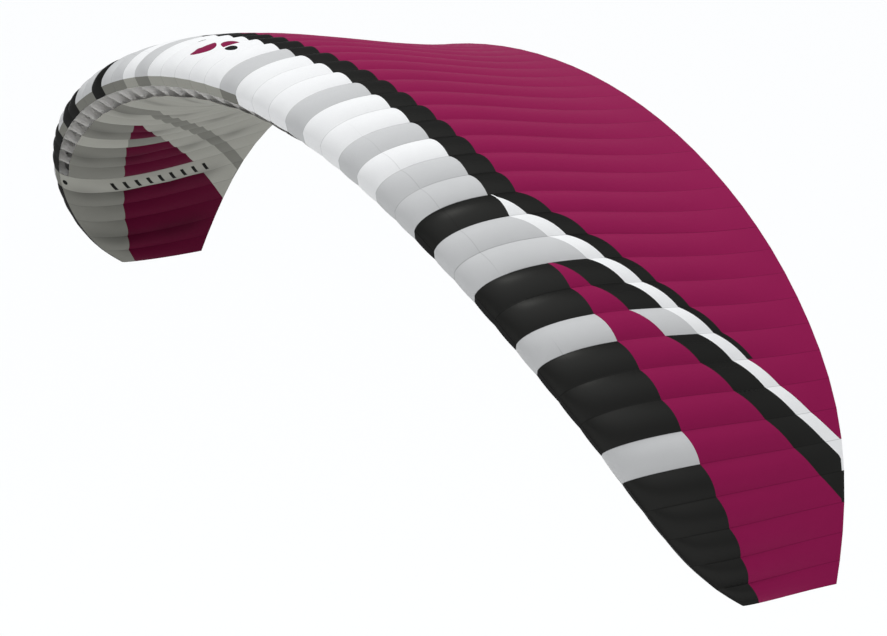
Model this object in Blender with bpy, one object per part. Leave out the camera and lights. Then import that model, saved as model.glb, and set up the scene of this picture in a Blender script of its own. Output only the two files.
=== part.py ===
"""A paraglider wing, inflated: fifty cells of thin cloth between ribs, arched from tip to tip.

Metres. +X to one wing tip, +Y from the leading edge to the trailing edge, +Z up. The origin is
where the middle rib's lines are tied, on the lower sail. Ribs are numbered from 0 at the +X tip
to 50 at the -X tip, and cell n lies between rib n-1 and rib n.
"""

import bpy
from math import cos, radians, sin, sqrt
from mathutils import Vector

# Flat size of the whole wing
CELLS = 50
MIDDLE = CELLS // 2
HALF_SPAN = 5.60
ROOT_CHORD = 2.84

# Cloth and the gaps between pieces
CLOTH = 0.002
GAP = 0.0003
SEAM_GAP = 0.0014  # between two sails that meet end to end, whose ends lean towards each other
RIB_INSET = CLOTH / 2 + 2 * GAP  # from the middle of a sail's cloth to the edge of a rib

# Planform: how the chord shrinks and the trailing edge moves forward towards a tip
CHORD_LOSS, CHORD_POWER = 0.92, 2.4
TRAILING_SWEEP, TRAILING_POWER = 0.228, 2.4

# Cell widths: a slow narrowing outwards, and a quick one at the last few cells
WIDTH_LOSS, TIP_WIDTH_LOSS, TIP_WIDTH_POWER = 0.14, 0.28, 16

# How far the wing is tilted at each share of its half span
# (share of half span, tilt in degrees)
ARCH = (
    (0.00, 0.0),
    (0.30, 15.5),
    (0.55, 29.0),
    (0.75, 45.0),
    (0.88, 66.0),
    (1.00, 79.5),
)

# Rib section, as shares of its chord: a four-digit thickness, slimmer behind, with the tail
# turned up, that thins out at the very tips
THICKNESS, REAR_SLIMMING = 0.191, 0.0215
REFLEX = 0.0125
TIP_THINNING, TIP_THINNING_POWER = 0.70, 30
RIB_END = 0.90  # ribs stop here, short of the trailing edge
TIP_RIB_END = 0.84  # of the two end ribs, which are the thinnest

# Air intakes, under the nose, as shares of the chord
UPPER_LIP = 0.010
LOWER_LIP, OUTER_LOWER_LIP = 0.055, 0.044
LIP_TAPER_FROM, LIP_TAPER_TO = 15, 19  # ribs from the middle
OPEN_CELLS = range(7, 45)

# Billow of the cloth half way between two ribs, as a share of the cell's width
BILLOW = 0.13
LIP_BILLOW = 0.15  # share of it that is left at the intake's taped lips
FULL_BILLOW_FROM = 0.09  # chord share behind the nose where the upper sail has all of it

LINES_AT = 0.28  # where the lines are tied, as a share of the chord

# Chord shares where the sails turn. Those under zero are on the lower side of the nose
UPPER_STATIONS = (-UPPER_LIP, 0.0, 0.02, 0.07, 0.15, 0.27, 0.42, 0.60, 0.80, 1.0)
LOWER_STATIONS = (0.14, LINES_AT, 0.48, 0.72, 1.0)

# Last rib of each sail piece: the sails are joined from four pieces each
SAIL_JOINTS = (0, 13, MIDDLE, 37, CELLS)

# (colour, roughness) of each cloth
CLOTHS = {
    "upper_sail": ((0.25, 0.010, 0.076), 0.45),
    "lower_sail": ((0.29, 0.29, 0.25), 0.55),
    "rib": ((0.45, 0.45, 0.46), 0.60),
}


def smooth_table(rows, at):
    """The second column at a place in the first, on a smooth curve through the rows."""
    slopes = [(b[1] - a[1]) / (b[0] - a[0]) for a, b in zip(rows, rows[1:])]
    widths = [b[0] - a[0] for a, b in zip(rows, rows[1:])]
    ends = [slopes[0]]
    for n in range(1, len(slopes)):
        both = widths[n - 1] + widths[n]
        ends.append((slopes[n - 1] * widths[n] + slopes[n] * widths[n - 1]) / both)
    ends.append(2 * slopes[-1] - ends[-1])
    row = max(n for n in range(len(slopes)) if at >= rows[n][0])
    t = (at - rows[row][0]) / widths[row]
    start, stop = rows[row][1], rows[row + 1][1]
    return (
        (2 * t**3 - 3 * t**2 + 1) * start
        + (t**3 - 2 * t**2 + t) * widths[row] * ends[row]
        + (3 * t**2 - 2 * t**3) * stop
        + (t**3 - t**2) * widths[row] * ends[row + 1]
    )


def tilt_at(share):
    return radians(smooth_table(ARCH, share))


def cell_widths():
    """Width of each cell from the middle of the wing to a tip."""
    law = []
    for n in range(MIDDLE):
        out = (n + 0.5) / MIDDLE
        law.append(1 - WIDTH_LOSS * out**2 - TIP_WIDTH_LOSS * out**TIP_WIDTH_POWER)
    return [HALF_SPAN * width / sum(law) for width in law]


def rib_frames():
    """For each rib: its share of the half span, and its x, height and tilt, +X tip first."""
    share, x, z = 0.0, 0.0, 0.0
    half = [(share, x, z, 0.0)]
    for width in cell_widths():
        middle_tilt = tilt_at(share + width / HALF_SPAN / 2)
        share = min(share + width / HALF_SPAN, 1.0)
        x += width * cos(middle_tilt)
        z -= width * sin(middle_tilt)
        half.append((share, x, z, tilt_at(share)))
    other = [(share, -x, z, -tilt) for share, x, z, tilt in half[1:]]
    return half[::-1] + other


FRAMES = rib_frames()


def chord_at(share):
    return ROOT_CHORD * sqrt(1 - CHORD_LOSS * share**CHORD_POWER)


def leading_edge_at(share):
    return ROOT_CHORD * (1 - TRAILING_SWEEP * share**TRAILING_POWER) - chord_at(share)


def section_height(along, side, share):
    """Height of a rib's section over its chord line, as a share of the chord."""
    half = 5 * THICKNESS * (
        0.2969 * sqrt(along)
        - 0.1260 * along
        - 0.3516 * along**2
        + 0.2843 * along**3
        - 0.1036 * along**4
    )
    rear = 6.75 * along**2 * (1 - along)  # 1 at two thirds of the chord, where it is greatest
    thin = 1 - TIP_THINNING * share**TIP_THINNING_POWER
    return side * thin * (half - REAR_SLIMMING * rear) - REFLEX * rear


def section_point(rib, along, side):
    """(distance behind the leading edge, height over the chord line), in metres."""
    share = FRAMES[rib][0]
    chord = chord_at(share)
    trailing_half = (CLOTH / 2 + GAP) * along**8  # keeps the two sails apart where they end
    return chord * along, chord * section_height(along, side, share) + side * trailing_half


def place(rib, back, height):
    """A point of a rib's own plane in the wing's frame."""
    share, x, z, tilt = FRAMES[rib]
    return Vector((x + height * sin(tilt), leading_edge_at(share) + back, z + height * cos(tilt)))


ORIGIN = place(MIDDLE, *section_point(MIDDLE, LINES_AT, -1))


def station_side(station, side):
    """Upper stations under zero are on the lower side of the nose."""
    return (-station, -1) if station < 0 else (station, side)


def on_rib(rib, station, side):
    along, side = station_side(station, side)
    return place(rib, *section_point(rib, along, side)) - ORIGIN


def billow_share(station, side):
    """How much of the full billow is left at a station: less at the lips, none at the end."""
    along, _ = station_side(station, side)
    if side < 0 and station < LINES_AT or station < 0:
        return LIP_BILLOW
    rise = min(sqrt(along / FULL_BILLOW_FROM), 1.0)
    return (LIP_BILLOW + (1 - LIP_BILLOW) * rise) * (1 - along**3)


def outward(rib, station, side):
    """Unit vector out of the sail at a rib."""
    along, side = station_side(station, side)
    step = 0.004
    near, far = max(along - step, 0.0), min(along + step, 1.0)
    a = place(rib, *section_point(rib, near, side))
    b = place(rib, *section_point(rib, far, side))
    if along == 0.0:
        b = place(rib, *section_point(rib, step, 1))
        a = place(rib, *section_point(rib, step, -1))
    tilt = FRAMES[rib][3]
    across = Vector((cos(tilt), 0, -sin(tilt)))
    normal = across.cross(b - a).normalized()
    return normal if along == 0.0 else side * normal


def mid_cell(cell, station, side):
    """Half way between the two ribs of a cell, pushed out by the air inside."""
    ribs = (cell - 1, cell)
    a, b = (on_rib(rib, station, side) for rib in ribs)
    push = sum((outward(rib, station, side) for rib in ribs), Vector()).normalized()
    return (a + b) / 2 + push * (b - a).length * BILLOW * billow_share(station, side)


def lower_lip(rib):
    """Chord share of the intake's lower lip: nearer the nose in the last open cells."""
    out = (abs(rib - MIDDLE) - LIP_TAPER_FROM) / (LIP_TAPER_TO - LIP_TAPER_FROM)
    return LOWER_LIP + (OUTER_LOWER_LIP - LOWER_LIP) * min(max(out, 0.0), 1.0)


def sail_lines(first_rib, last_rib, row_of):
    """Points along each rib and each mid cell of a sail piece, drawn in a little at its ends."""
    lines = [row_of(first_rib, None)]
    for rib in range(first_rib + 1, last_rib + 1):
        lines.append(row_of(None, rib))
        lines.append(row_of(rib, None))
    for end, inner in ((0, 1), (-1, -2)):
        for n, point in enumerate(lines[end]):
            step = lines[inner][n] - point
            lines[end][n] = point + step.normalized() * SEAM_GAP / 2
    return lines


def upper_row(rib, cell):
    if cell is None:
        return [on_rib(rib, station, 1) for station in UPPER_STATIONS]
    return [mid_cell(cell, station, 1) for station in UPPER_STATIONS]


def lower_row(rib, cell):
    """The first point closes the intake under the nose, where a cell has none."""
    if cell is None:
        stations = (UPPER_LIP, lower_lip(rib)) + LOWER_STATIONS
        row = [on_rib(rib, station, -1) for station in stations]
    else:
        lip = (lower_lip(cell - 1) + lower_lip(cell)) / 2
        row = [mid_cell(cell, station, -1) for station in (UPPER_LIP, lip) + LOWER_STATIONS]
    row[0] += (row[1] - row[0]).normalized() * SEAM_GAP
    return row


def cloth_material(name):
    colour, roughness = CLOTHS[name]
    material = bpy.data.materials.new(name)
    material.use_nodes = True
    shader = material.node_tree.nodes["Principled BSDF"]
    shader.inputs["Base Color"].default_value = (*colour, 1)
    shader.inputs["Roughness"].default_value = roughness
    shader.inputs["Metallic"].default_value = 0.0
    return material


def add_cloth(name, points, faces, cloth):
    """A sheet of cloth: a flat or curved surface given its thickness on both sides."""
    mesh = bpy.data.meshes.new(name)
    mesh.from_pydata(points, [], faces)
    mesh.materials.append(cloth_material(cloth))
    piece = bpy.data.objects.new(name, mesh)
    bpy.context.scene.collection.objects.link(piece)
    thick = piece.modifiers.new("thickness", "SOLIDIFY")
    thick.thickness = CLOTH
    thick.offset = 0.0
    thick.use_even_offset = True
    return piece


def add_sail(name, lines, has_face, turned, cloth):
    """A sail piece from its lines of points. has_face(line, row) says where there is cloth."""
    rows = len(lines[0])
    faces = []
    for line in range(len(lines) - 1):
        for row in range(rows - 1):
            if has_face(line, row):
                a, b = line * rows + row, (line + 1) * rows + row
                face = (a, b, b + 1, a + 1)
                faces.append(face[::-1] if turned else face)
    used = sorted({corner for face in faces for corner in face})
    number = {corner: n for n, corner in enumerate(used)}
    points = [lines[corner // rows][corner % rows] for corner in used]
    faces = [[number[corner] for corner in face] for face in faces]
    return add_cloth(name, points, faces, cloth)


def add_upper_sail(number, first_rib, last_rib):
    lines = sail_lines(first_rib, last_rib, upper_row)
    add_sail(f"upper_sail_{number}", lines, lambda line, row: True, False, "upper_sail")


def add_lower_sail(number, first_rib, last_rib):
    def has_face(line, row):
        return row > 0 or first_rib + line // 2 + 1 not in OPEN_CELLS

    lines = sail_lines(first_rib, last_rib, lower_row)
    add_sail(f"lower_sail_{number}", lines, has_face, True, "lower_sail")


def inset(outline, by):
    """A closed outline of (back, height) points, moved inwards by the same distance all round."""
    moved = []
    for n, point in enumerate(outline):
        before = (Vector(point) - Vector(outline[n - 1])).normalized()
        after = (Vector(outline[(n + 1) % len(outline)]) - Vector(point)).normalized()
        half = (before + after).normalized()
        inwards = Vector((half.y, -half.x))
        moved.append(Vector(point) + inwards * by / max(half.dot(after), 0.3))
    return moved


def rib_outline(rib):
    """Clockwise from the upper lip over the top, as straight between stations as the sails."""
    upper = [section_point(rib, *station_side(station, 1)) for station in UPPER_STATIONS]
    stations = (lower_lip(rib),) + LOWER_STATIONS
    lower = [section_point(rib, station, -1) for station in stations]
    end = TIP_RIB_END if rib in (0, CELLS) else RIB_END
    for row, stations in ((upper, UPPER_STATIONS), (lower, stations)):
        share = (end - stations[-2]) / (stations[-1] - stations[-2])
        row[-1] = tuple(Vector(row[-2]).lerp(Vector(row[-1]), share))
    return upper + lower[::-1]


def nose_sweep(rib):
    """How fast the leading edge runs back at a rib, per metre of span."""
    share = FRAMES[rib][0]
    step = 0.01
    inner, outer = max(share - step, 0.0), min(share + step, 1.0)
    run = leading_edge_at(outer) - leading_edge_at(inner)
    return run / (outer - inner) / HALF_SPAN


def add_rib(rib):
    """A flat rib inside the sails, its two end ribs drawn in level with the sails' ends."""
    tilt = FRAMES[rib][3]
    across = Vector((cos(tilt), 0, -sin(tilt)))
    drawn_in = {0: -1, CELLS: 1}.get(rib, 0) * (CLOTH / 2 + GAP) * across
    outline = inset(rib_outline(rib), RIB_INSET + 0.75 * CLOTH * nose_sweep(rib))
    points = [place(rib, *point) - ORIGIN + drawn_in for point in outline]
    add_cloth(f"rib_{rib:02d}", points, [range(len(points))], "rib")


def main():
    for old in list(bpy.data.objects):
        bpy.data.objects.remove(old)
    for rib in range(CELLS + 1):
        add_rib(rib)
    for number, (first, last) in enumerate(zip(SAIL_JOINTS, SAIL_JOINTS[1:]), 1):
        add_upper_sail(number, first, last)
        add_lower_sail(number, first, last)


main()
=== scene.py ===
import bpy
import numpy as np
from math import cos, pi, radians, sin
from mathutils import Matrix, Vector


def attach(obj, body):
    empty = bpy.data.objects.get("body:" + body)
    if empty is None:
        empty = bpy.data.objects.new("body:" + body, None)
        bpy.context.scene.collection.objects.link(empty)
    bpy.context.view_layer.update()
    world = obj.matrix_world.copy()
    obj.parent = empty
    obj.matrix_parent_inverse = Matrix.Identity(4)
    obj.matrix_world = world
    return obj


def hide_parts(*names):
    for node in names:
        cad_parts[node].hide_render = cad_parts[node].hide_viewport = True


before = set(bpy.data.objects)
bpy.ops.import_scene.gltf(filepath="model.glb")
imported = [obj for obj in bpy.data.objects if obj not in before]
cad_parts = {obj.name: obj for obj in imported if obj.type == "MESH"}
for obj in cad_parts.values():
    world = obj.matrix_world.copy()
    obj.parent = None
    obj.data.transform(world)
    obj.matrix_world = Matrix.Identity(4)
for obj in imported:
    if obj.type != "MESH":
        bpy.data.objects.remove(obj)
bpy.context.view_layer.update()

# Metres. +X to the near wing tip, +Y to the trailing edge, +Z up. Ribs are numbered 0 to 50 from the
# +X tip, and cell n lies between rib n-1 and rib n. "Share" is a share of the half span, and "along"
# a share of a rib's chord, from the leading edge

wing = {
    "cells": 50,
    "halfSpan": 5.60,
    "rootChord": 2.84,
    "chordLoss": 0.92,
    "chordPower": 2.4,
    "trailingSweep": 0.228,
    "trailingPower": 2.4,
    "widthLoss": 0.14,
    "tipWidthLoss": 0.28,
    "tipWidthPower": 16,
    # share, tilt in degrees
    "arch": ((0.00, 0.0), (0.30, 15.5), (0.55, 29.0), (0.75, 45.0), (0.88, 66.0), (1.00, 79.5)),
    "thickness": 0.191,
    "rearSlimming": 0.0215,
    "reflex": 0.0125,
    "tipThinning": 0.70,
    "tipThinningPower": 30,
    "upperLip": 0.010,
    "lowerLip": 0.055,
    "outerLowerLip": 0.044,
    "lipTaper": (15, 19),  # ribs from the middle
    "openCells": (7, 44),  # first and last cell with an intake
    "linesAt": 0.28,
    "billow": 0.13,  # of a cell's width
    "lipBillow": 0.15,  # of the full billow
    "fullBillowFrom": 0.09,  # on the upper side, chord share behind the nose
    "lowerBillowRise": (0.05, 0.23),  # on the lower side, where it starts to rise and over what share
    "endGap": 0.0013,  # half the gap between the sails at the trailing edge, to the middle of the cloth
}
middle = wing["cells"] // 2
sailJoints = (0, 13, 25, 37, 50)  # the ribs where the sail pieces meet


def smoothCurve(rows, at):
    # a smooth curve through rows of (place, value)
    place, value = np.array(rows, float).T
    width = np.diff(place)
    slope = np.diff(value) / width
    bend = np.empty(len(place))
    bend[1:-1] = (slope[:-1] * width[1:] + slope[1:] * width[:-1]) / (width[:-1] + width[1:])
    bend[0] = slope[0]
    bend[-1] = 2 * slope[-1] - bend[-2]
    at = np.asarray(at, float)
    row = np.clip(np.searchsorted(place, at, side="right") - 1, 0, len(width) - 1)
    t = (at - place[row]) / width[row]
    return (
        (2 * t**3 - 3 * t**2 + 1) * value[row]
        + (t**3 - 2 * t**2 + t) * width[row] * bend[row]
        + (3 * t**2 - 2 * t**3) * value[row + 1]
        + (t**3 - t**2) * width[row] * bend[row + 1]
    )


def ribFrames():
    # share, x, z and tilt of every rib
    out = (np.arange(middle) + 0.5) / middle
    width = 1 - wing["widthLoss"] * out**2 - wing["tipWidthLoss"] * out ** wing["tipWidthPower"]
    width *= wing["halfSpan"] / width.sum()
    share = np.minimum(np.concatenate([[0], np.cumsum(width)]) / wing["halfSpan"], 1)
    midTilt = np.radians(smoothCurve(wing["arch"], (share[1:] + share[:-1]) / 2))
    x = np.concatenate([[0], np.cumsum(width * np.cos(midTilt))])
    z = -np.concatenate([[0], np.cumsum(width * np.sin(midTilt))])
    tilt = np.radians(smoothCurve(wing["arch"], share))
    mirror = np.array([1, -1, 1, -1])
    half = np.stack([share, x, z, tilt], 1)
    return np.concatenate([half[::-1], half[1:] * mirror])


ribs = ribFrames()
cellWidth = np.hypot(np.diff(ribs[:, 1]), np.diff(ribs[:, 2]))


def chordAt(share):
    return wing["rootChord"] * np.sqrt(1 - wing["chordLoss"] * share ** wing["chordPower"])


def leadingEdgeAt(share):
    trailing = 1 - wing["trailingSweep"] * share ** wing["trailingPower"]
    return wing["rootChord"] * trailing - chordAt(share)


def sectionHeight(share, along, side):
    # height of the section over its chord line, in metres, from the usual four-digit thickness form
    half = 5 * wing["thickness"] * (
        0.2969 * np.sqrt(along) - 0.1260 * along - 0.3516 * along**2
        + 0.2843 * along**3 - 0.1036 * along**4
    )
    rear = 27 / 4 * along**2 * (1 - along)  # 1 where it is highest
    thin = 1 - wing["tipThinning"] * share ** wing["tipThinningPower"]
    height = side * thin * (half - wing["rearSlimming"] * rear) - wing["reflex"] * rear
    return chordAt(share) * height + side * wing["endGap"] * along**8


origin = np.zeros(3)  # set below: where the middle rib's lines are tied


def ribCurve(rib, root):
    # points of a rib's outline. root squared is the share of the chord, and under zero is the lower side
    share, x, z, tilt = ribs[rib]
    root = np.asarray(root, float)
    along, side = root**2, np.sign(root)
    height = sectionHeight(share, along, side)
    back = leadingEdgeAt(share) + chordAt(share) * along
    return np.stack([x + height * np.sin(tilt), back, z + height * np.cos(tilt)], -1) - origin


origin = ribCurve(middle, -np.sqrt(wing["linesAt"]))


def outward(rib, root):
    # unit vectors out of the sail along a rib
    step = 0.01
    run = ribCurve(rib, np.minimum(root + step, 1)) - ribCurve(rib, np.maximum(root - step, -1))
    across = np.array([np.cos(ribs[rib, 3]), 0, -np.sin(ribs[rib, 3])])
    normal = np.cross(across, run)
    return normal / np.linalg.norm(normal, axis=-1, keepdims=True)


def billowAt(root):
    # share of the full billow: less under the nose crease and at the lips, none at the trailing edge
    along = root**2
    lip = wing["lipBillow"]
    upper = lip + (1 - lip) * np.sin(np.clip(root / np.sqrt(wing["fullBillowFrom"]), 0, 1) * pi / 2)
    start, length = wing["lowerBillowRise"]
    lower = lip + (1 - lip) * np.sin(np.clip((along - start) / length, 0, 1) * pi / 2)
    return np.where(root >= 0, upper, lower) * (1 - along**3)


def sailPoints(at, root):
    # points of a sail at a rib number with a fraction, pushed out by the air between two ribs
    cell = min(int(at), wing["cells"] - 1)
    t = at - cell
    a = ribCurve(cell, root)
    if t == 0:
        return a
    b = ribCurve(cell + 1, root)
    push = outward(cell, root) + outward(cell + 1, root)
    push /= np.linalg.norm(push, axis=-1, keepdims=True)
    width = np.linalg.norm(b - a, axis=-1, keepdims=True)
    rise = 4 * t * (1 - t) * wing["billow"] * billowAt(np.asarray(root))[:, None]
    return a * (1 - t) + b * t + push * width * rise


def lowerLip(at):
    start, stop = wing["lipTaper"]
    out = np.clip((abs(at - middle) - start) / (stop - start), 0, 1)
    return wing["lowerLip"] + (wing["outerLowerLip"] - wing["lowerLip"]) * out


def shareAt(at):
    return float(np.interp(at, np.arange(len(ribs)), ribs[:, 0]))


def spanAt(at):
    # metres along the span from the middle rib, + to the +X tip
    run = np.concatenate([[0], np.cumsum(cellWidth)])
    return float(run[middle] - np.interp(at, np.arange(len(run)), run))


def lineRibs(count):
    # ribs that lines are tied to: every third one out from the middle, on both sides
    return [middle + side * (2 + 3 * n) for n in range(count) for side in (-1, 1)]


# Cloth

cloths = {
    # name: (colour, roughness, gloss, share of the light that comes through)
    "magentaCloth": ((0.235, 0.0085, 0.066), 0.50, 0.02, 0.03),
    "blackCloth": ((0.0230, 0.0230, 0.0220), 0.40, 0.03, 0.0),
    "whiteCloth": ((0.86, 0.865, 0.87), 0.60, 0.05, 0.15),
    "greyCloth": ((0.555, 0.56, 0.565), 0.60, 0.05, 0.10),
    # the next three are the white, grey and magenta cloth made darker: painted shade for the lower sail
    # and the far half's nose strip, which look down
    "creamCloth": ((0.320, 0.318, 0.285), 0.65, 0.03, 0.08),
    "slateCloth": ((0.175, 0.174, 0.155), 0.65, 0.03, 0.04),
    "underMagenta": ((0.074, 0.0022, 0.018), 0.65, 0.02, 0.0),
    "linerCloth": ((0.93, 0.925, 0.915), 0.70, 0.03, 0.15),
    "ribCloth": ((0.95, 0.94, 0.92), 0.70, 0.03, 0.30),
}
ripstop = {
    "square": 0.005,  # side of the weave's squares
    "threadShare": 0.16,  # width of the thick threads
    "threadShade": 0.94,
    "seamHalf": 0.0025,  # half the width of the dark line of a rib seam
    "seamShade": 0.72,
    "crossHalf": 0.004,  # of a seam across the cells
    "crossShade": 0.86,
    "pucker": 0.03,  # how far the stitches' small folds reach from a rib
    "puckerPitch": 0.045,
    "pullPaintedShade": 0.70,  # painted shade of the soft creases where lines pull on the lower sail
    "tone": {"Scale": 1.7, "Detail": 3.0, "Roughness": 0.55},  # the uneven tone of a panel
    "toneRange": (0.95, 0.10),  # least, and how much more
    "weaveRelief": 0.08,
    "puckerRelief": 0.5,
    "bump": {"Strength": 0.25, "Distance": 0.0015},
    "blackMetal": 0.65,  # the black coating is satin, and keeps dark at its edges
}


def addNode(tree, kind, inputs=(), **settings):
    node = tree.nodes.new(kind)
    for name, value in settings.items():
        setattr(node, name, value)
    for socket, value in dict(inputs).items():
        if isinstance(value, bpy.types.NodeSocket):
            tree.links.new(value, node.inputs[socket])
        else:
            node.inputs[socket].default_value = value
    return node


def calc(tree, operation, a, b=0.0, c=0.0):
    node = addNode(tree, "ShaderNodeMath", {0: a, 1: b, 2: c}, operation=operation)
    return node.outputs[0]


def mixIn(tree, colour, mask, other):
    mix = addNode(tree, "ShaderNodeMix", data_type="RGBA")
    sockets = {s.identifier: s for s in mix.inputs}
    tree.links.new(mask, sockets["Factor_Float"])
    tree.links.new(colour, sockets["A_Color"])
    sockets["B_Color"].default_value = (*other, 1)
    return [s for s in mix.outputs if s.identifier == "Result_Color"][0]


def multiply(tree, colour, level):
    mix = addNode(tree, "ShaderNodeMix", data_type="RGBA", blend_type="MULTIPLY")
    sockets = {s.identifier: s for s in mix.inputs}
    sockets["Factor_Float"].default_value = 1.0
    tree.links.new(colour, sockets["A_Color"])
    tree.links.new(level, sockets["B_Color"])
    return [s for s in mix.outputs if s.identifier == "Result_Color"][0]


def greyLevel(tree, value):
    return addNode(tree, "ShaderNodeCombineColor", {0: value, 1: value, 2: value}).outputs[0]


def ramp(tree, value, start, stop, first, last):
    # first up to start, last from stop on, and straight between
    settings = {"Value": value, 1: start, 2: stop, 3: first, 4: last}
    return addNode(tree, "ShaderNodeMapRange", settings).outputs[0]


def seamLine(tree, gap, half, shade):
    return ramp(tree, gap, half * 0.5, half * 1.5, shade, 1.0)


def clothMaterial(name, marks=None):
    # coated ripstop: fine squares, dark rib seams, faint cross seams, soft uneven tone, and painted
    # shade in the creases where lines pull
    colour, roughness, gloss, through = cloths[name.split("_")[0]]
    material = bpy.data.materials.new(name)
    material.use_nodes = True
    tree = material.node_tree
    shader = tree.nodes["Principled BSDF"]
    shader.inputs["Roughness"].default_value = roughness
    shader.inputs["Specular IOR Level"].default_value = gloss
    if name == "blackCloth":
        shader.inputs["Metallic"].default_value = ripstop["blackMetal"]
        shader.inputs["Specular Tint"].default_value = (0, 0, 0, 1)
    place = addNode(tree, "ShaderNodeUVMap", uv_map="cloth").outputs[0]
    seams = addNode(tree, "ShaderNodeUVMap", uv_map="seams").outputs[0]
    u, v = addNode(tree, "ShaderNodeSeparateXYZ", {0: place}).outputs[:2]
    ribGap, crossGap = addNode(tree, "ShaderNodeSeparateXYZ", {0: seams}).outputs[:2]
    pulls = addNode(tree, "ShaderNodeUVMap", uv_map="pulls").outputs[0]
    pull = addNode(tree, "ShaderNodeSeparateXYZ", {0: pulls}).outputs[0]

    def threads(across):
        turn = calc(tree, "FRACT", calc(tree, "DIVIDE", across, ripstop["square"]))
        return calc(tree, "LESS_THAN", turn, ripstop["threadShare"])

    weave = calc(tree, "MAXIMUM", threads(u), threads(v))
    base = addNode(tree, "ShaderNodeRGB")
    base.outputs[0].default_value = (*colour, 1)
    spot = addNode(tree, "ShaderNodeTexCoord").outputs["Object"]
    noise = addNode(tree, "ShaderNodeTexNoise", {"Vector": spot, **ripstop["tone"]})
    least, more = ripstop["toneRange"]
    tone = calc(tree, "MULTIPLY_ADD", noise.outputs[0], more, least)
    shaded = multiply(tree, base.outputs[0], greyLevel(tree, tone))
    if marks:
        shaded = marks(tree, shaded, u, v)
    weaveTone = calc(tree, "MULTIPLY_ADD", weave, ripstop["threadShade"] - 1, 1.0)
    shaded = multiply(tree, shaded, greyLevel(tree, weaveTone))
    rib = seamLine(tree, ribGap, ripstop["seamHalf"], ripstop["seamShade"])
    cross = seamLine(tree, crossGap, ripstop["crossHalf"], ripstop["crossShade"])
    # painted shade: darker where a line pulls the lower sail into a crease
    crease = calc(tree, "MULTIPLY_ADD", pull, ripstop["pullPaintedShade"] - 1, 1.0)
    lines = calc(tree, "MULTIPLY", calc(tree, "MULTIPLY", rib, cross), crease)
    shaded = multiply(tree, shaded, greyLevel(tree, lines))
    tree.links.new(shaded, shader.inputs["Base Color"])

    # small folds that the stitches draw in beside each rib, and the weave
    fold = calc(tree, "SINE", calc(tree, "MULTIPLY", v, 2 * pi / ripstop["puckerPitch"]))
    puckers = calc(tree, "MULTIPLY", fold, ramp(tree, ribGap, 0.0, ripstop["pucker"], 1.0, 0.0))
    height = calc(tree, "MULTIPLY_ADD", weave, ripstop["weaveRelief"],
                  calc(tree, "MULTIPLY", puckers, ripstop["puckerRelief"]))
    bump = addNode(tree, "ShaderNodeBump", {"Height": height, **ripstop["bump"]})
    tree.links.new(bump.outputs[0], shader.inputs["Normal"])
    if through:  # thin cloth lets some light through
        glow = addNode(tree, "ShaderNodeBsdfTranslucent", {"Color": shaded})
        both = {0: through, 1: shader.outputs[0], 2: glow.outputs[0]}
        blend = addNode(tree, "ShaderNodeMixShader", both)
        tree.links.new(blend.outputs[0], tree.nodes["Material Output"].inputs["Surface"])
    return material


# Plain round motif on the nose, slanted bars on the two pale strips underneath, and a dark oval of
# painted shade for a vent hole

# dark print ink, and the painted shade of the vent hole
darkInkAndVentShade = (0.0085, 0.0085, 0.0078)
magentaInk = (0.225, 0.0080, 0.060)
spots = (
    # across from the middle rib, back from the leading edge, radius, colour
    (-0.86, 0.32, 0.110, magentaInk),
    (-0.72, 0.48, 0.075, magentaInk),
    (-1.12, 0.45, 0.045, darkInkAndVentShade),
    (-0.56, 0.40, 0.045, darkInkAndVentShade),
)
bars = {
    "cell": 45,
    "count": 9,
    "first": 0.47,  # metres behind the nose
    "pitch": 0.118,
    "long": 0.110,
    "wide": 0.034,
    "slant": 0.35,
    "vent": (0.043, 0.022, 0.032),  # an oval vent hole under the nose, not cut but painted dark as painted shade: back, half long, half wide
}


def spotMarks(tree, colour, u, v):
    for across, back, radius, paint in spots:
        du = calc(tree, "SUBTRACT", u, across)
        dv = calc(tree, "SUBTRACT", v, back)
        reach = calc(tree, "SQRT", calc(tree, "ADD", calc(tree, "MULTIPLY", du, du),
                                        calc(tree, "MULTIPLY", dv, dv)))
        colour = mixIn(tree, colour, calc(tree, "LESS_THAN", reach, radius), paint)
    return colour


def barMarks(tree, colour, u, v):
    centre = spanAt(bars["cell"] - 0.5)
    du = calc(tree, "SUBTRACT", calc(tree, "ABSOLUTE", u), abs(centre))
    dv = calc(tree, "SUBTRACT", calc(tree, "SUBTRACT", v, bars["first"]),
              calc(tree, "MULTIPLY", du, bars["slant"]))
    turn = calc(tree, "DIVIDE", dv, bars["pitch"])
    part = calc(tree, "FRACT", turn)
    inBar = calc(tree, "LESS_THAN", part, bars["wide"] / bars["pitch"])
    inRow = calc(tree, "MULTIPLY", calc(tree, "GREATER_THAN", turn, 0.0),
                 calc(tree, "LESS_THAN", turn, float(bars["count"])))
    inWidth = calc(tree, "LESS_THAN", calc(tree, "ABSOLUTE", du), bars["long"] / 2)
    mask = calc(tree, "MULTIPLY", calc(tree, "MULTIPLY", inBar, inRow), inWidth)
    # painted shade: a dark oval where the shaded inside of the vent hole would show
    back, halfLong, halfWide = bars["vent"]
    ventV = calc(tree, "DIVIDE", calc(tree, "SUBTRACT", v, back), halfLong)
    ventU = calc(tree, "DIVIDE", du, halfWide)
    reach = calc(tree, "ADD", calc(tree, "MULTIPLY", ventU, ventU), calc(tree, "MULTIPLY", ventV, ventV))
    mask = calc(tree, "MAXIMUM", mask, calc(tree, "LESS_THAN", reach, 1.0))
    return mixIn(tree, colour, mask, darkInkAndVentShade)


materials = {name: clothMaterial(name) for name in cloths}
materials["whiteSpotted"] = clothMaterial("whiteCloth_spotted", spotMarks)
materials["creamBarred"] = clothMaterial("creamCloth_barred", barMarks)


# The panels of the upper sail: where each colour ends, from the nose back

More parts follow.
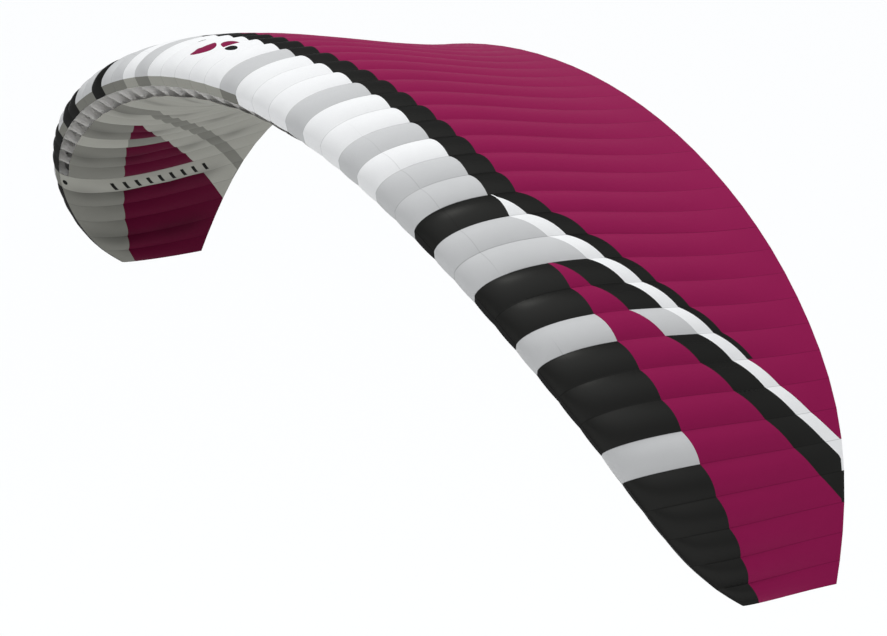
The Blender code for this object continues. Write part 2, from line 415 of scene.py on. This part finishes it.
noseCells = "BBBBBGBBBGBBGGBGGWGWWGWWWGWWWWWGWGGBGGBBGBBBGBBBBB"
noseColours = {"B": "blackCloth", "G": "greyCloth", "W": "whiteCloth"}
# the far half's strip from the nose crease to the intake, which looks down, gets darker cloth than the
# nose as painted shade; the near half keeps the nose's cloth
shadedStripColours = {"B": "blackCloth", "G": "slateCloth", "W": "creamCloth"}
spottedCells = (27, 32)
upperEdges = {
    "nose": ((0.00, 0.177), (0.13, 0.189), (0.38, 0.199), (0.55, 0.203), (0.67, 0.240), (0.79, 0.273),
             (0.89, 0.285), (0.94, 0.265), (0.972, 0.214), (1.0, 0.15)),  # share, along
    "band": ((0.00, 0.252), (0.13, 0.267), (0.30, 0.279), (0.424, 0.286)),  # share, along
    # straight lines in plan: two points of (share, metres behind the origin)
    "diagonal": ((0.589, 0.108), (0.866, 1.367)),
    "whiteFront": ((0.507, 0.032), (0.828, 1.490)),
    "whiteRear": ((0.465, 0.001), (0.789, 1.447)),
    "blackRear": ((0.424, 0.057), (0.710, 1.148)),
}
upperPanels = (
    # first and last cell from a tip, and the cloth between each edge and the next
    (1, 3, "magenta", "magenta", "magenta", "magenta", "magenta"),
    (4, 4, "magenta", "black", "black", "black", "black"),
    (5, 5, "magenta", "black", "white", "white", "white"),
    (6, 8, "magenta", "black", "white", "magenta", "magenta"),
    (9, 9, "magenta", "black", "white", "black", "magenta"),
    (10, 10, "magenta", "grey", "white", "black", "magenta"),
    (11, 12, "magenta", "black", "white", "black", "magenta"),
    (13, 14, "grey", "grey", "white", "black", "magenta"),
    (15, 15, "black", "black", "white", "black", "magenta"),
    (16, 25, "black", "black", "black", "black", "magenta"),
)
upperRows = (20, 7, 5, 3, 4, 16)  # rows of the mesh from the crease to the nose edge, and so on
stripRows = (0.0, 0.08, 0.5, 0.93, 1.0)  # down from the crease to the intake's upper lip
columns = (0.0, 0.035, 0.12, 0.24, 0.37, 0.5, 0.63, 0.76, 0.88, 0.965)  # across a cell
edgeGap = 0.004  # the least depth of a panel, as a share of the chord
bandReach = 10  # ribs from the middle with all one black band
plainFrom = 22  # ribs from the middle, beyond which the upper sail is all magenta


def straight(edge, share):
    (a, first), (b, last) = edge
    back = first + (last - first) * (share - a) / (b - a)
    return (back + origin[1] - leadingEdgeAt(share)) / chordAt(share)


def panelOf(panels, cell):
    near = min(cell, wing["cells"] + 1 - cell)
    return next(panel[2:] for panel in panels if panel[0] <= near <= panel[1])


def keptInOrder(keys):
    # no key passes its neighbour or the trailing edge
    for n in range(1, len(keys)):
        keys[n] = max(keys[n], keys[n - 1] + edgeGap)
    for n in range(len(keys) - 1, 0, -1):
        keys[n] = min(keys[n], 1 - edgeGap * (len(keys) - n))
    return keys


def upperKeys(at):
    share = shareAt(at)
    out = abs(at - middle)
    nose = float(smoothCurve(upperEdges["nose"], share))
    if out <= bandReach:
        rear = float(smoothCurve(upperEdges["band"], share))
    else:
        rear = straight(upperEdges["blackRear"], share)
    lines = [straight(upperEdges[name], share) for name in ("diagonal", "whiteFront", "whiteRear")]
    keys = keptInOrder([nose, *lines, rear])
    # rows evenly spaced where all is one colour
    if out < bandReach:
        even = np.linspace(nose, rear, 5)
        keys = list(np.array(keys) + (even - keys) * min(bandReach - out, 1))
    if out > plainFrom:
        even = np.linspace(nose, 1, 6)[:5]
        keys = list(np.array(keys) + (even - keys) * min(out - plainFrom, 1))
    return keys


def upperStations(at):
    # signed square roots of the chord share, from the lip round the nose to the trailing edge
    keys = upperKeys(at)
    roots = list(np.linspace(0, np.sqrt(keys[0]), upperRows[0] + 1))
    for a, b, rows in zip(keys, [*keys[1:], 1.0], upperRows[1:]):
        roots += list(np.sqrt(np.linspace(a, b, rows + 1)[1:]))
    return np.array(roots)


def upperColumn(at):
    sail = sailPoints(at, upperStations(at))
    lip = sailPoints(at, np.array([-np.sqrt(wing["upperLip"])]))[0]
    strip = [sail[0] + (lip - sail[0]) * share for share in stripRows[:0:-1]]
    return np.concatenate([np.array(strip), sail])


def upperCloth(cell, row):
    # row 0 starts at the lip
    place = row - (len(stripRows) - 1)
    ends = np.cumsum(upperRows)
    # painted shade: on the far half only, the strip under the nose crease takes darker cloth
    if place < 0 and cell > middle:
        return shadedStripColours[noseCells[cell - 1]]
    if place < ends[0]:
        letter = noseCells[cell - 1]
        if letter == "W" and spottedCells[0] <= cell <= spottedCells[1]:
            return "whiteSpotted"
        return noseColours[letter]
    return panelOf(upperPanels, cell)[int(np.searchsorted(ends, place, side="right")) - 1] + "Cloth"


# The panels of the lower sail, from the intake's lower lip back

lowerEdges = {
    "front": ((0.0, 0.15), (0.548, 0.191), (0.67, 0.246), (0.79, 0.295), (0.87, 0.298), (0.94, 0.271),
              (0.972, 0.217), (1.0, 0.15)),  # share, along
    "magentaRear": ((0.548, -0.069), (0.828, 1.189)),
    "stripeFront": ((0.515, 0.029), (0.846, 1.594)),
    "stripeRear": ((0.471, -0.019), (0.825, 1.618)),
}
# the lower sail's cloths are darker copies of the white, grey and magenta cloth: painted shade
lowerPanels = (
    # first and last cell from a tip, and the cloth between each edge and the next
    (1, 3, "slate", "underMagenta", "underMagenta", "underMagenta", "underMagenta"),
    (4, 4, "slate", "underMagenta", "cream", "cream", "cream"),
    (5, 5, "slate", "underMagenta", "cream", "slate", "slate"),
    (6, 6, "barred", "barred", "barred", "slate", "cream"),
    (7, 9, "slate", "underMagenta", "cream", "slate", "cream"),
    (10, 10, "cream", "slate", "cream", "slate", "cream"),
    (11, 12, "slate", "underMagenta", "cream", "slate", "cream"),
    (13, 14, "cream", "cream", "cream", "slate", "cream"),
    (15, 15, "slate", "slate", "slate", "slate", "cream"),
    (16, 25, "cream", "cream", "cream", "cream", "cream"),
)
lowerRows = (9, 7, 6, 4, 14)
frontRows = 5  # of the closed front of a cell without an intake


def lowerKeys(at):
    share = shareAt(at)
    front = float(smoothCurve(lowerEdges["front"], share))
    lines = [straight(lowerEdges[name], share) for name in ("magentaRear", "stripeFront", "stripeRear")]
    return keptInOrder([front, *lines])


def lowerColumn(at):
    keys = lowerKeys(at)
    lip = lowerLip(at)
    roots = list(np.linspace(np.sqrt(wing["upperLip"]), np.sqrt(lip), frontRows + 1))
    for a, b, rows in zip([lip, *keys], [*keys, 1.0], lowerRows):
        roots += list(np.sqrt(np.linspace(a, b, rows + 1)[1:]))
    roots = -np.array(roots)
    return sailPoints(at, roots), roots


def lowerCloth(cell, row):
    place = int(np.searchsorted(np.cumsum(lowerRows), row - frontRows, side="right"))
    name = panelOf(lowerPanels, cell)[place]
    if name == "barred":
        return "creamBarred"
    return name if name == "underMagenta" else name + "Cloth"


# Where the lines are tied under the sail: every third rib, in four rows

ties = {
    "ribs": lineRibs(8),
    "rows": (0.10, 0.30, 0.56, 0.77),  # shares of the chord
    "reach": (0.10, 0.17),  # of the soft crease, across the cells and along them
    "depth": 0.012,  # how far a line draws the cloth down
    "nearby": 1.6,  # ribs, beyond which a tie has no effect
}


def pullAt(at, along):
    # 1 where a line is tied, falling to 0 around it
    share = shareAt(at)
    pull = np.zeros(len(along))
    for rib in ties["ribs"]:
        if abs(rib - at) > ties["nearby"]:
            continue
        across = abs(spanAt(at) - spanAt(rib))
        for row in ties["rows"]:
            back = (along - row) * chordAt(share)
            pull += np.exp(-((across / ties["reach"][0]) ** 2) - (back / ties["reach"][1]) ** 2)
    return np.clip(pull, 0, 1)


# Building a sheet

sheets = {
    "thick": 0.0015,
    "smoothBelow": 50,  # degrees
    "drawnIn": 0.0005,  # at both ends of a sail piece
    "lipClear": 0.12,  # of the first row's depth, from the upper sail's lip
    "noseSeam": 0.060,  # share of the chord, on the upper sail
    "noseRun": 1.25,  # cloth for each metre of chord there
}


def addPiece(name, data):
    piece = bpy.data.objects.new(name, data)
    bpy.context.scene.collection.objects.link(piece)
    return piece


def makeActive(piece):
    bpy.ops.object.select_all(action="DESELECT")
    piece.select_set(True)
    bpy.context.view_layer.objects.active = piece


def addUv(mesh, name, values):
    layer = mesh.uv_layers.new(name=name)
    corner = np.empty(len(mesh.loops), int)
    mesh.loops.foreach_get("vertex_index", corner)
    layer.data.foreach_set("uv", np.asarray(values, float)[corner].ravel())


def finishSheet(piece, thick, liners=0):
    makeActive(piece)
    shell = piece.modifiers.new("thickness", "SOLIDIFY")
    shell.thickness = thick
    shell.offset = 0.0
    shell.use_even_offset = True
    shell.material_offset = shell.material_offset_rim = liners
    bpy.ops.object.modifier_apply(modifier="thickness")
    bpy.ops.object.shade_smooth_by_angle(angle=radians(sheets["smoothBelow"]))


def gridSheet(name, columnPoints, uvs, seamGaps, hasFace, clothOf, turned, pulls=None):
    # a sheet over columns of points, each face with its own cloth
    count, rows = columnPoints.shape[:2]
    faces, cloth = [], []
    for column in range(count - 1):
        for row in range(rows - 1):
            if hasFace(column, row):
                a, b = column * rows + row, (column + 1) * rows + row
                face = (a, b, b + 1, a + 1)
                faces.append(face[::-1] if turned else face)
                cloth.append(clothOf(column, row))
    used = np.unique(faces)
    number = np.full(count * rows, -1)
    number[used] = np.arange(len(used))
    mesh = bpy.data.meshes.new(name)
    mesh.from_pydata(columnPoints.reshape(-1, 3)[used].tolist(), [], number[np.array(faces)].tolist())
    addUv(mesh, "cloth", uvs.reshape(-1, 2)[used])
    addUv(mesh, "seams", seamGaps.reshape(-1, 2)[used])
    if pulls is not None:
        addUv(mesh, "pulls", pulls.reshape(-1, 2)[used])
    names = sorted(set(cloth))
    for each in ["linerCloth"] * len(names) + names:  # the inner faces are white
        mesh.materials.append(materials[each])
    mesh.polygons.foreach_set("material_index", [names.index(each) for each in cloth])
    piece = addPiece(name, mesh)
    finishSheet(piece, sheets["thick"], liners=len(names))
    return piece


def declareCloth(piece, width, length, node, slot):
    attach(piece, "root")
    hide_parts(node)


def columnsOf(first, last):
    places = [rib + part for rib in range(first, last) for part in columns]
    return places + [last]


def drawnIn(points):
    # the sail piece's ends keep clear of the next piece
    for end, inner in ((0, 1), (-1, -2)):
        step = points[inner] - points[end]
        step /= np.linalg.norm(step, axis=-1, keepdims=True)
        points[end] = points[end] + step * sheets["drawnIn"]
    return points


def gaps(at, along, chord):
    # distance to the nearest rib seam and to the nose seam
    cell = min(int(at), wing["cells"] - 1)
    width = cellWidth[cell]
    t = at - cell
    ribGap = np.full(len(along), min(t, 1 - t) * width)
    return np.stack([ribGap, np.abs(along - sheets["noseSeam"]) * chord * sheets["noseRun"]], -1)


def runLengths(points):
    step = np.linalg.norm(np.diff(points, axis=0), axis=1)
    return np.concatenate([[0], np.cumsum(step)])


def flatSize(points, first, last):
    # the cells' widths with the billow's arc, and the longest line of cloth from front to back
    width = cellWidth[first:last].sum() * (1 + 8 / 3 * wing["billow"] ** 2)
    return width, max(runLengths(column)[-1] for column in points)


def upperSail(number, first, last):
    places = columnsOf(first, last)
    points = np.array([upperColumn(at) for at in places])
    strip = len(stripRows) - 1
    uvs, seamGaps = [], []
    for at, column in zip(places, points):
        run = runLengths(column)
        uvs.append(np.stack([np.full(len(run), spanAt(at)), run - run[strip]], -1))
        along = np.concatenate([np.full(strip, -0.01), upperStations(at) ** 2])
        seamGaps.append(gaps(at, along, chordAt(shareAt(at))))
    per = len(columns)
    piece = gridSheet(f"upper_sail_cloth_{number}", drawnIn(points), np.array(uvs),
                      np.array(seamGaps), lambda column, row: True,
                      lambda column, row: upperCloth(first + column // per + 1, row), False)
    declareCloth(piece, *flatSize(points, first, last), f"upper_sail_{number}", "upper_cloth")


def lowerSail(number, first, last):
    places = columnsOf(first, last)
    both = [lowerColumn(at) for at in places]
    points = np.array([column for column, _ in both])
    uvs, seamGaps, pulls = [], [], []
    for n, (at, (column, roots)) in enumerate(zip(places, both)):
        along = roots**2
        pull = pullAt(at, along)
        tilt = np.interp(at, np.arange(len(ribs)), ribs[:, 3])
        points[n] -= (pull * ties["depth"])[:, None] * np.array([np.sin(tilt), 0, np.cos(tilt)])
        pulls.append(np.stack([pull, pull], -1))
        uvs.append(np.stack([np.full(len(along), spanAt(at)), runLengths(column)], -1))
        seamGaps.append(gaps(at, np.full(len(along), 0.5), chordAt(shareAt(at))))
    per = len(columns)
    points[:, 0] += (points[:, 1] - points[:, 0]) * sheets["lipClear"]

    def hasFace(column, row):
        cell = first + column // per + 1
        return row >= frontRows or not wing["openCells"][0] <= cell <= wing["openCells"][1]

    piece = gridSheet(f"lower_sail_cloth_{number}", drawnIn(points), np.array(uvs),
                      np.array(seamGaps), hasFace,
                      lambda column, row: lowerCloth(first + column // per + 1, row), True,
                      np.array(pulls))
    declareCloth(piece, *flatSize(points, first, last), f"lower_sail_{number}", "lower_cloth")


# Ribs with their air holes

ribCut = {
    "end": 0.90,  # share of the chord where a rib stops
    "tipEnd": 0.84,  # of the two end ribs
    "inset": 0.0022,
    "tipInset": 0.0013,  # of the two end ribs, towards the middle
    "thick": 0.0012,
    "upperSteps": 34,
    "lowerSteps": 26,
    # along, half length, height share
    "holes": ((0.065, 0.016, 0.42), (0.150, 0.030, 0.50), (0.245, 0.030, 0.50), (0.350, 0.034, 0.50),
              (0.460, 0.034, 0.50), (0.575, 0.034, 0.48), (0.690, 0.030, 0.44)),
    "holeSides": 20,
    "leastHole": 0.012,  # half height
    "weld": 0.00005,
}


def ribOutline(rib):
    # (back, height) in the rib's own plane, once round
    share = ribs[rib, 0]
    chord = chordAt(share)
    end = ribCut["tipEnd"] if rib in (0, wing["cells"]) else ribCut["end"]
    top = np.linspace(0, np.sqrt(end), ribCut["upperSteps"])
    lip = np.sqrt(wing["upperLip"])
    upper = [(lip, -1)] + [(value, 1) for value in top]
    low = np.linspace(np.sqrt(end), np.sqrt(lowerLip(rib)), ribCut["lowerSteps"])
    points = []
    for value, side in upper + [(value, -1) for value in low]:
        along = value**2
        points.append((chord * along, float(sectionHeight(share, along, side))))
    return points


def insetOutline(outline, by):
    moved = []
    for n, point in enumerate(outline):
        here = Vector(point)
        before = (here - Vector(outline[n - 1])).normalized()
        after = (Vector(outline[(n + 1) % len(outline)]) - here).normalized()
        half = (before + after).normalized()
        moved.append(here + Vector((half.y, -half.x)) * by / max(half.dot(after), 0.3))
    return moved


def addLoop(curve, points):
    spline = curve.splines.new("POLY")
    spline.points.add(len(points) - 1)
    for spot, point in zip(spline.points, points):
        spot.co = (point[0], point[1], 0, 1)
    spline.use_cyclic_u = True


def ribPlane(rib):
    # the rib's own plane: x back, y up, z across
    share, x, z, tilt = ribs[rib]
    across = Vector((cos(tilt), 0, -sin(tilt)))
    up = Vector((sin(tilt), 0, cos(tilt)))
    corner = Vector((x, float(leadingEdgeAt(share)), z)) - Vector(origin)
    turn = Matrix(((0, up.x, -across.x), (1, up.y, -across.y), (0, up.z, -across.z)))
    return Matrix.Translation(corner) @ turn.to_4x4()


def noseSweep(share):
    # how much the leading edge goes back for each metre out
    step = 0.01
    if share <= step:
        return 0.0
    back = leadingEdgeAt(min(share + step, 1)) - leadingEdgeAt(share - step)
    return abs(float(back)) / (2 * step) / wing["halfSpan"]


def addHoles(curve, share):
    chord = float(chordAt(share))
    for along, halfLong, part in ribCut["holes"]:
        top = float(sectionHeight(share, along, 1))
        bottom = float(sectionHeight(share, along, -1))
        tall = (top - bottom) * part / 2
        if tall < ribCut["leastHole"]:
            continue
        centre = (top + bottom) / 2
        turns = [2 * pi * n / ribCut["holeSides"] for n in range(ribCut["holeSides"])]
        addLoop(curve, [(chord * along + chord * halfLong * cos(turn), centre + tall * sin(turn))
                        for turn in turns])


def cutRib(rib):
    share = ribs[rib, 0]
    curve = bpy.data.curves.new(f"rib_cloth_{rib:02d}", "CURVE")
    curve.dimensions = "2D"
    curve.fill_mode = "BOTH"
    curve.extrude = ribCut["thick"] / 2
    inset = ribCut["inset"] + sheets["thick"] / 2 * noseSweep(share)
    addLoop(curve, insetOutline(ribOutline(rib), inset))
    if 0 < rib < wing["cells"]:
        addHoles(curve, share)
    makeActive(addPiece(f"rib_cloth_{rib:02d}", curve))
    bpy.ops.object.convert(target="MESH")
    piece = bpy.context.view_layer.objects.active
    bpy.ops.object.mode_set(mode="EDIT")
    bpy.ops.mesh.select_all(action="SELECT")
    bpy.ops.mesh.remove_doubles(threshold=ribCut["weld"])
    bpy.ops.mesh.normals_make_consistent(inside=False)
    bpy.ops.object.mode_set(mode="OBJECT")
    mesh = piece.data
    flat = np.empty(len(mesh.vertices) * 3)
    mesh.vertices.foreach_get("co", flat)
    flat = flat.reshape(-1, 3)
    while mesh.uv_layers:
        mesh.uv_layers.remove(mesh.uv_layers[0])
    addUv(mesh, "cloth", flat[:, :2])
    addUv(mesh, "seams", np.ones((len(flat), 2)))
    mesh.materials.clear()
    mesh.materials.append(materials["ribCloth"])
    mesh.transform(ribPlane(rib))
    drawn = {0: -1, wing["cells"]: 1}.get(rib, 0) * ribCut["tipInset"]
    if drawn:
        tilt = ribs[rib, 3]
        mesh.transform(Matrix.Translation((drawn * cos(tilt), 0, -drawn * sin(tilt))))
    box = np.ptp(flat, axis=0)
    declareCloth(piece, float(box[0]), float(box[1]), f"rib_{rib:02d}", "rib_cloth")


# Diagonal ribs, from the lower sail at a line rib to the tops of the ribs beside it

diagonals = {
    "lineRibs": lineRibs(6),
    # along: foot from, to; head from, to
    "rows": ((0.054, 0.150, 0.110, 0.220), (0.25, 0.33, 0.22, 0.36)),
    "clear": 0.012,  # of the sails
    "steps": 6,
    "thick": 0.0012,
    "flatWidth": 0.40,
}


def diagonalRibs():
    points, faces = [], []
    for rib in diagonals["lineRibs"]:
        for side in (-1, 1):
            for footFrom, footTo, headFrom, headTo in diagonals["rows"]:
                foot = ribCurve(rib, -np.sqrt(np.linspace(footFrom, footTo, diagonals["steps"])))
                head = ribCurve(rib + side, np.sqrt(np.linspace(headFrom, headTo, diagonals["steps"])))
                run = head - foot
                run /= np.linalg.norm(run, axis=-1, keepdims=True)
                foot = foot + run * diagonals["clear"]
                head = head - run * diagonals["clear"]
                start = len(points)
                for n in range(diagonals["steps"]):
                    points += [foot[n].tolist(), head[n].tolist()]
                for n in range(diagonals["steps"] - 1):
                    a = start + 2 * n
                    faces.append((a, a + 1, a + 3, a + 2))
    mesh = bpy.data.meshes.new("diagonal_ribs")
    mesh.from_pydata(points, [], faces)
    spot = np.array(points)
    addUv(mesh, "cloth", spot[:, [1, 2]])
    addUv(mesh, "seams", np.ones((len(points), 2)))
    mesh.materials.append(materials["ribCloth"])
    piece = addPiece("diagonal_ribs", mesh)
    finishSheet(piece, diagonals["thick"])
    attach(piece, "root")


for number, (first, last) in enumerate(zip(sailJoints, sailJoints[1:]), 1):
    upperSail(number, first, last)
    lowerSail(number, first, last)
print("sails sewn")
for rib in range(wing["cells"] + 1):
    cutRib(rib)
print("ribs cut")
diagonalRibs()
print("diagonal ribs set")


# Floor, light and camera

studio = {
    "floorDepth": -30.0,
    "floorRadius": 700.0,
    "floorSides": 96,
    "floorColour": (0.96, 0.96, 0.96),
    "floorRoughness": 0.9,
    "sky": (0.98, 0.99, 1.0),
    "skyStrength": (0.48, 1.62),  # at the horizon and overhead
    "lampPlace": (-7.0, 2.0, 22.0),
    "lampSize": 9.0,
    "lampPower": 1600.0,
}
camera = {
    "place": (19.179, -11.640, 5.525),
    "azimuth": 56.42,  # degrees from +Y towards -X
    "elevation": -17.45,
    "roll": 2.10,
    "lens": 125.6,
    "sensor": 36.0,
    "reach": 5000.0,
}


def addFloor():
    bpy.ops.object.select_all(action="DESELECT")
    bpy.ops.mesh.primitive_circle_add(vertices=studio["floorSides"], radius=studio["floorRadius"],
                                      fill_type="NGON", location=(0, 0, studio["floorDepth"]))
    floor = bpy.context.object
    floor.name = "floor"
    paint = bpy.data.materials.new("floorPaint")
    paint.use_nodes = True
    shader = paint.node_tree.nodes["Principled BSDF"]
    shader.inputs["Base Color"].default_value = (*studio["floorColour"], 1)
    shader.inputs["Roughness"].default_value = studio["floorRoughness"]
    floor.data.materials.append(paint)


def addSky():
    # brighter overhead
    world = bpy.data.worlds.new("studio")
    bpy.context.scene.world = world
    world.use_nodes = True
    tree = world.node_tree
    back = tree.nodes["Background"]
    back.inputs["Color"].default_value = (*studio["sky"], 1)
    look = addNode(tree, "ShaderNodeTexCoord").outputs["Generated"]
    up = addNode(tree, "ShaderNodeSeparateXYZ", {0: look})
    low, high = studio["skyStrength"]
    height = calc(tree, "MAXIMUM", up.outputs[2], 0.0)
    level = calc(tree, "MULTIPLY_ADD", calc(tree, "MULTIPLY", height, height), high - low, low)
    tree.links.new(level, back.inputs["Strength"])


def addLamp():
    lamp = bpy.data.lights.new("softbox", "AREA")
    lamp.shape = "DISK"
    lamp.size = studio["lampSize"]
    lamp.energy = studio["lampPower"]
    holder = addPiece("softbox", lamp)
    holder.location = studio["lampPlace"]
    holder.rotation_euler = (-Vector(studio["lampPlace"])).to_track_quat("-Z", "Y").to_euler()


def addCamera():
    data = bpy.data.cameras.new("camera")
    data.lens = camera["lens"]
    data.sensor_width = camera["sensor"]
    data.clip_end = camera["reach"]
    holder = addPiece("camera", data)
    turn = Matrix.Rotation(radians(camera["azimuth"]), 4, "Z")
    tip = Matrix.Rotation(radians(90 + camera["elevation"]), 4, "X")
    roll = Matrix.Rotation(radians(camera["roll"]), 4, "Z")
    holder.matrix_world = Matrix.Translation(camera["place"]) @ turn @ tip @ roll
    bpy.context.scene.camera = holder


addFloor()
addSky()
addLamp()
addCamera()
bpy.context.scene.view_settings.view_transform = "Standard"
print("studio set")
